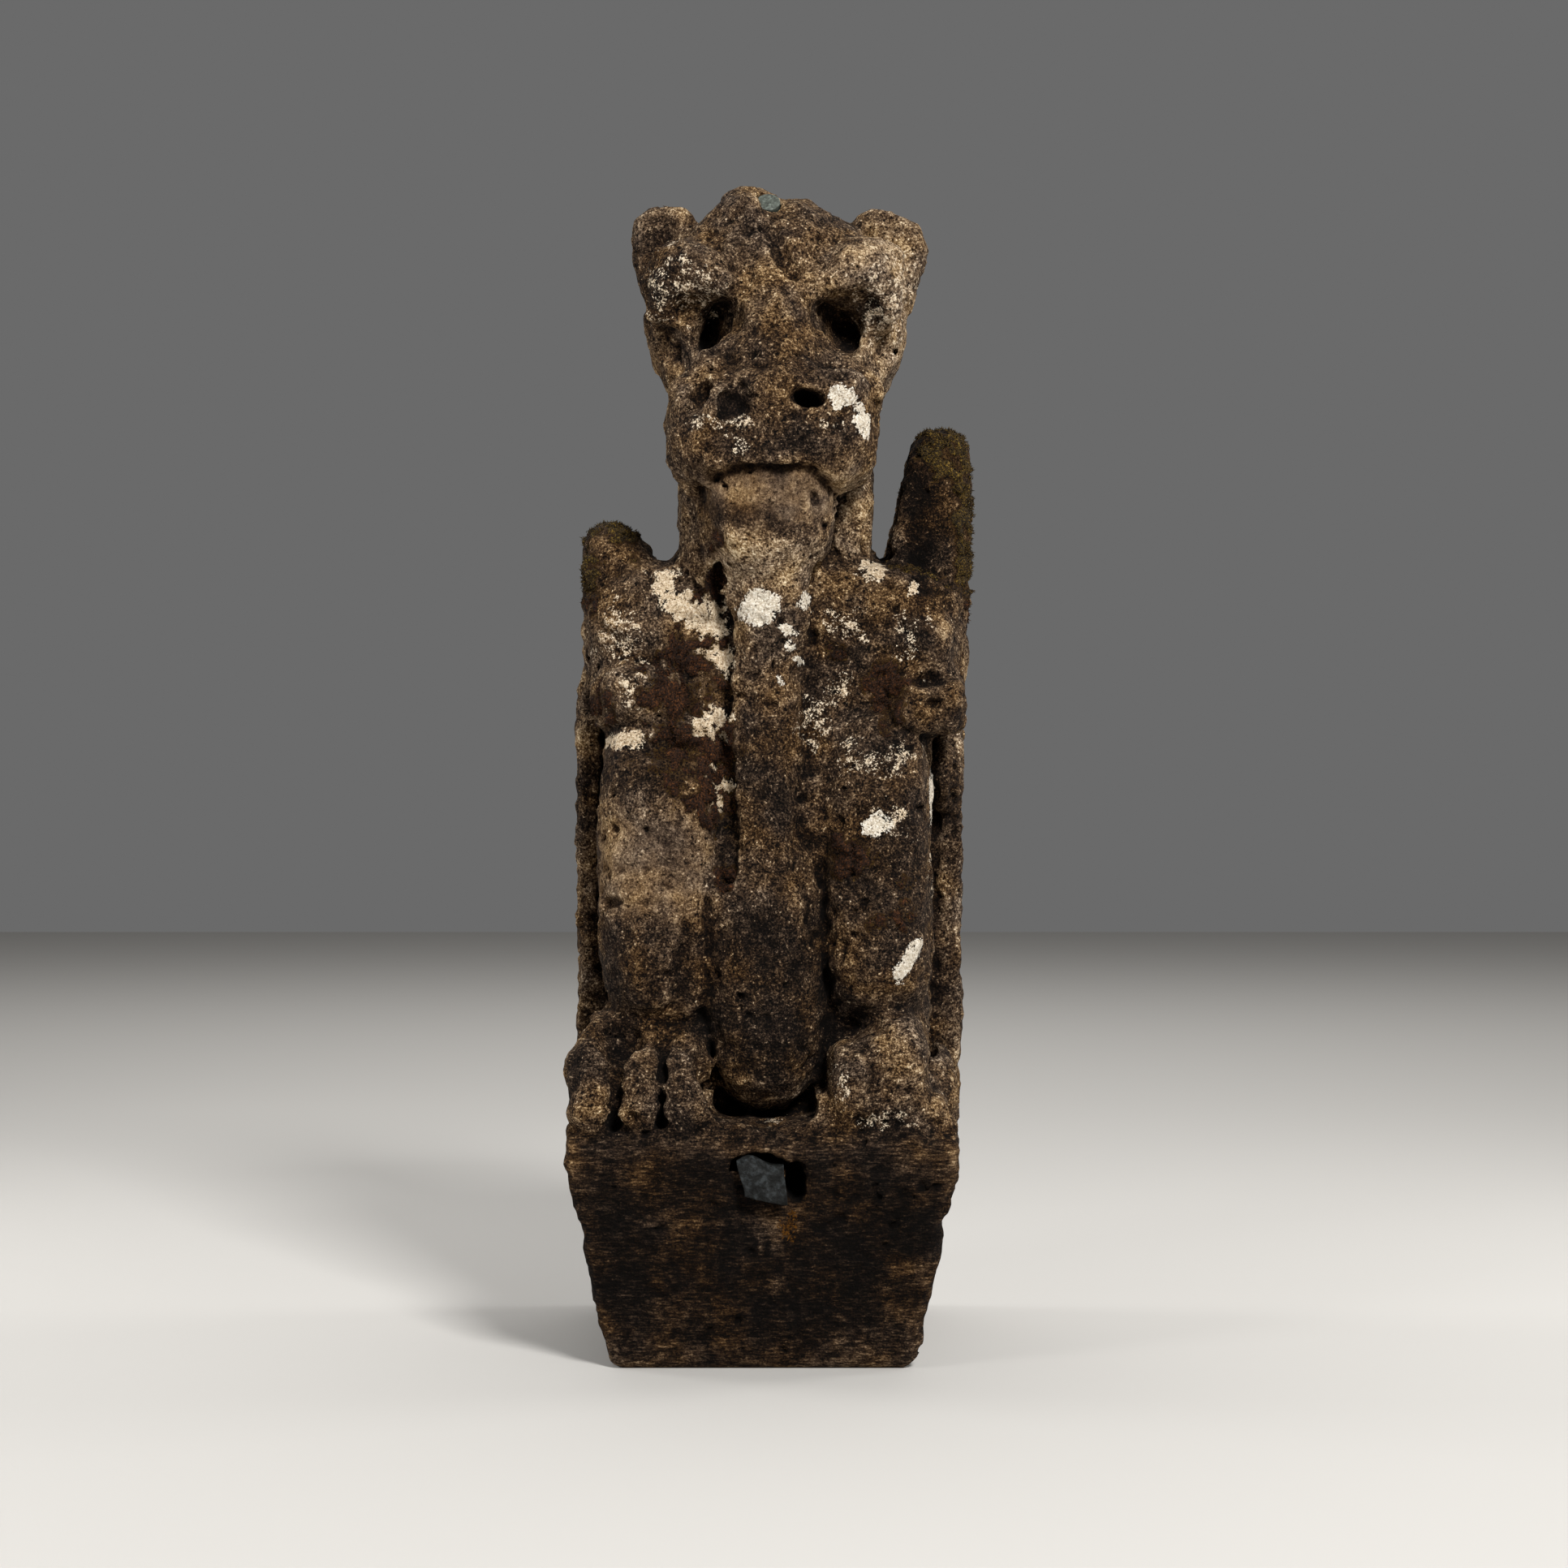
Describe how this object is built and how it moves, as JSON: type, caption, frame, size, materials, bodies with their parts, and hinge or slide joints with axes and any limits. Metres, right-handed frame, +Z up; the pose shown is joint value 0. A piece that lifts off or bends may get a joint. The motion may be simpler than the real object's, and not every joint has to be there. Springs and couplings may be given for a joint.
{
  "type": "stone gargoyle",
  "caption": "Weathered carved stone beast with folded wings, squatting on its own tapering block, with a flap of lead in the block's front.",
  "frame": {"origin": "middle of the block's flat underside, on what the stone stands on", "axes": "+Z up, the beast looks along -Y, +X to the right as seen from the front"},
  "size_m": [0.334, 0.404, 0.98],
  "materials": {
    "stone": "coarse-grained brown-grey stone, weathered, with lichen, moss and dark crust",
    "lead": "dressed sheet lead, dull blue grey",
    "dowel": "copper alloy pin end, dulled to green grey"
  },
  "bodies": {
    "root": {"stone_gargoyle": "stone", "lead_spout_tongue": "lead", "crown_dowel": "dowel"}
  },
  "joints": []
}
